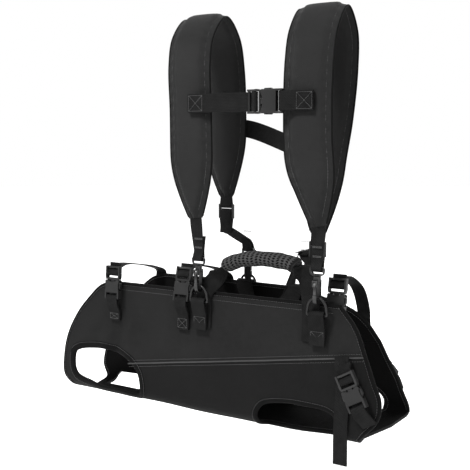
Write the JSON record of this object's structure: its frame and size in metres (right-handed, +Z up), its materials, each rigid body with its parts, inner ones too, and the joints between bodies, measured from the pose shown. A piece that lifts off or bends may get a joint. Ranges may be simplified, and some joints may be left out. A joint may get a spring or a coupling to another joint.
{
  "type": "dog lifting harness",
  "caption": "Padded dog-lifting wrap with leg openings and grab handles, hung by swivel snap hooks from a pair of padded shoulder straps with a chest buckle.",
  "frame": {"origin": "shoulder rest: midway between the inner crowns of the two shoulder pads", "axes": "+X towards the dog's head end, -Y towards the wearer's chest side, +Z up"},
  "size_m": [0.526, 0.1778, 0.5798],
  "materials": {
    "shell_fabric": "matt charcoal woven polyester with a padded backing",
    "belly_fabric": "matt near-black woven polyester",
    "pad_fabric": "padded charcoal polyester",
    "webbing": "black woven webbing with box stitching",
    "grip_mesh": "black spacer mesh",
    "buckle_plastic": "moulded black acetal",
    "dark_metal": "dark gunmetal plating"
  },
  "bodies": {
    "harness": {"side_panel_chest": "shell_fabric", "side_panel_back": "shell_fabric", "belly_panel": "belly_fabric", "shoulder_pad_tail": "pad_fabric", "shoulder_pad_head": "pad_fabric", "back_strap": "webbing", "chest_strap_tail": "webbing", "chest_strap_head": "webbing", "front_web_tail": "webbing", "rear_web_tail": "webbing", "front_web_head": "webbing", "rear_web_head": "webbing", "lower_tab_chest": "webbing", "lower_web_chest": "webbing", "handle_web_chest": "webbing", "lower_tab_back": "webbing", "lower_web_back": "webbing", "handle_web_back": "webbing", "top_tab_tail": "webbing", "top_strap_tail": "webbing", "top_tab_middle": "webbing", "top_strap_middle": "webbing", "top_tab_head": "webbing", "top_strap_head": "webbing", "chest_socket": "buckle_plastic", "top_tail_socket": "buckle_plastic", "top_middle_socket": "buckle_plastic", "top_head_socket": "buckle_plastic", "lower_chest_socket": "buckle_plastic", "lower_back_socket": "buckle_plastic", "ladder_lock_tail": "buckle_plastic", "ladder_lock_head": "buckle_plastic", "ring_tab_chest_tail": "webbing", "hook_eye_chest_tail": "dark_metal", "ring_tab_chest_head": "webbing", "hook_eye_chest_head": "dark_metal", "ring_tab_back_tail": "webbing", "hook_eye_back_tail": "dark_metal", "ring_tab_back_head": "webbing", "hook_eye_back_head": "dark_metal"},
    "hook_chest_tail": {"hook_body_chest_tail": "dark_metal"},
    "gate_chest_tail": {"hook_gate_chest_tail": "dark_metal"},
    "ring_chest_tail": {"d_ring_chest_tail": "dark_metal"},
    "hook_chest_head": {"hook_body_chest_head": "dark_metal"},
    "gate_chest_head": {"hook_gate_chest_head": "dark_metal"},
    "ring_chest_head": {"d_ring_chest_head": "dark_metal"},
    "hook_back_tail": {"hook_body_back_tail": "dark_metal"},
    "gate_back_tail": {"hook_gate_back_tail": "dark_metal"},
    "ring_back_tail": {"d_ring_back_tail": "dark_metal"},
    "hook_back_head": {"hook_body_back_head": "dark_metal"},
    "gate_back_head": {"hook_gate_back_head": "dark_metal"},
    "ring_back_head": {"d_ring_back_head": "dark_metal"},
    "plug_chest": {"chest_plug": "buckle_plastic"},
    "plug_top_tail": {"top_tail_plug": "buckle_plastic"},
    "plug_top_middle": {"top_middle_plug": "buckle_plastic"},
    "plug_top_head": {"top_head_plug": "buckle_plastic"},
    "plug_lower_chest": {"lower_chest_plug": "buckle_plastic"},
    "plug_lower_back": {"lower_back_plug": "buckle_plastic"},
    "handle_chest": {"handle_grip_chest": "grip_mesh"},
    "handle_back": {"handle_grip_back": "grip_mesh"}
  },
  "joints": [
    {"name": "swivel_chest_tail", "type": "hinge", "parent": "harness", "child": "hook_chest_tail", "pos_m": [-0.067, -0.05824, -0.3321], "axis": [0, 0, 1], "range_deg": [-20, 20]},
    {"name": "gate_pin_chest_tail", "type": "hinge", "parent": "hook_chest_tail", "child": "gate_chest_tail", "pos_m": [-0.067, -0.06414, -0.3423], "axis": [1, 0, 0], "range_deg": [0, 28], "stiffness_Nm_per_rad": 0.02},
    {"name": "ring_bar_chest_tail", "type": "hinge", "parent": "harness", "child": "ring_chest_tail", "pos_m": [-0.067, -0.05824, -0.381], "axis": [1, 0, 0], "range_deg": [-3, 3]},
    {"name": "swivel_chest_head", "type": "hinge", "parent": "harness", "child": "hook_chest_head", "pos_m": [0.113, -0.05856, -0.3321], "axis": [0, 0, 1], "range_deg": [-20, 20]},
    {"name": "gate_pin_chest_head", "type": "hinge", "parent": "hook_chest_head", "child": "gate_chest_head", "pos_m": [0.113, -0.06446, -0.3423], "axis": [1, 0, 0], "range_deg": [0, 28], "stiffness_Nm_per_rad": 0.02},
    {"name": "ring_bar_chest_head", "type": "hinge", "parent": "harness", "child": "ring_chest_head", "pos_m": [0.113, -0.05856, -0.381], "axis": [1, 0, 0], "range_deg": [-3, 3]},
    {"name": "swivel_back_tail", "type": "hinge", "parent": "harness", "child": "hook_back_tail", "pos_m": [-0.065, 0.06909, -0.3321], "axis": [0, 0, 1], "range_deg": [-20, 20]},
    {"name": "gate_pin_back_tail", "type": "hinge", "parent": "hook_back_tail", "child": "gate_back_tail", "pos_m": [-0.065, 0.07499, -0.3423], "axis": [-1, 0, 0], "range_deg": [0, 28], "stiffness_Nm_per_rad": 0.02},
    {"name": "ring_bar_back_tail", "type": "hinge", "parent": "harness", "child": "ring_back_tail", "pos_m": [-0.065, 0.06909, -0.381], "axis": [1, 0, 0], "range_deg": [-3, 3]},
    {"name": "swivel_back_head", "type": "hinge", "parent": "harness", "child": "hook_back_head", "pos_m": [0.035, 0.06639, -0.3321], "axis": [0, 0, 1], "range_deg": [-20, 20]},
    {"name": "gate_pin_back_head", "type": "hinge", "parent": "hook_back_head", "child": "gate_back_head", "pos_m": [0.035, 0.07229, -0.3423], "axis": [-1, 0, 0], "range_deg": [0, 28], "stiffness_Nm_per_rad": 0.02},
    {"name": "ring_bar_back_head", "type": "hinge", "parent": "harness", "child": "ring_back_head", "pos_m": [0.035, 0.06639, -0.381], "axis": [1, 0, 0], "range_deg": [-3, 3]},
    {"name": "release_chest", "type": "slide", "parent": "harness", "child": "plug_chest", "axis": [-1, 0, 0], "range_m": [0, 0.024], "deforming": ["chest_strap_tail"]},
    {"name": "release_top_tail", "type": "slide", "parent": "harness", "child": "plug_top_tail", "axis": [0, 0.0698, 0.9976], "range_m": [0, 0.02], "deforming": ["top_strap_tail"]},
    {"name": "release_top_middle", "type": "slide", "parent": "harness", "child": "plug_top_middle", "axis": [0, 0.2079, 0.9781], "range_m": [0, 0.02], "deforming": ["top_strap_middle"]},
    {"name": "release_top_head", "type": "slide", "parent": "harness", "child": "plug_top_head", "axis": [0, 0.1736, 0.9848], "range_m": [0, 0.02], "deforming": ["top_strap_head"]},
    {"name": "release_lower_chest", "type": "slide", "parent": "harness", "child": "plug_lower_chest", "axis": [-0.4844, 0.0985, 0.8693], "range_m": [0, 0.02], "deforming": ["lower_web_chest"]},
    {"name": "release_lower_back", "type": "slide", "parent": "harness", "child": "plug_lower_back", "axis": [-0.4745, -0.366, 0.8005], "range_m": [0, 0.02], "deforming": ["lower_web_back"]},
    {"name": "fold_handle_chest", "type": "hinge", "parent": "harness", "child": "handle_chest", "pos_m": [0.018, -0.049, -0.367], "axis": [-1, 0, 0], "range_deg": [0, 50], "deforming": ["handle_web_chest"]},
    {"name": "lift_handle_back", "type": "hinge", "parent": "harness", "child": "handle_back", "pos_m": [-0.019, 0.054, -0.366], "axis": [-1, 0, 0], "range_deg": [0, 120], "deforming": ["handle_web_back"]}
  ]
}
